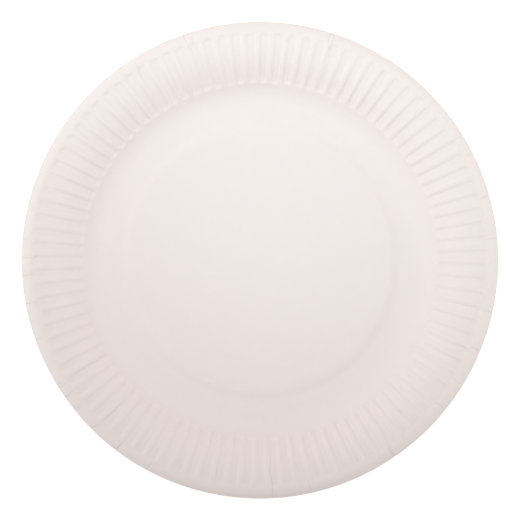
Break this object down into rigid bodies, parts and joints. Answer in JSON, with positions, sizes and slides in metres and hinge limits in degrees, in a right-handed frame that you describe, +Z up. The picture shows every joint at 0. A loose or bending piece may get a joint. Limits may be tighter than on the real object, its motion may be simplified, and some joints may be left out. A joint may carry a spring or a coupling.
{
  "type": "paper plate",
  "caption": "Round white paper plate with a raised flat centre, a standing ring, a fluted rim and a lip that curls down.",
  "frame": {"origin": "centre of the circle that the plate stands on", "axes": "+Z up through the middle of the plate, out of its dish"},
  "size_m": [0.23, 0.23, 0.0136],
  "materials": {
    "board": "matt white uncoated board"
  },
  "bodies": {
    "root": {"plate": "board"}
  },
  "joints": []
}
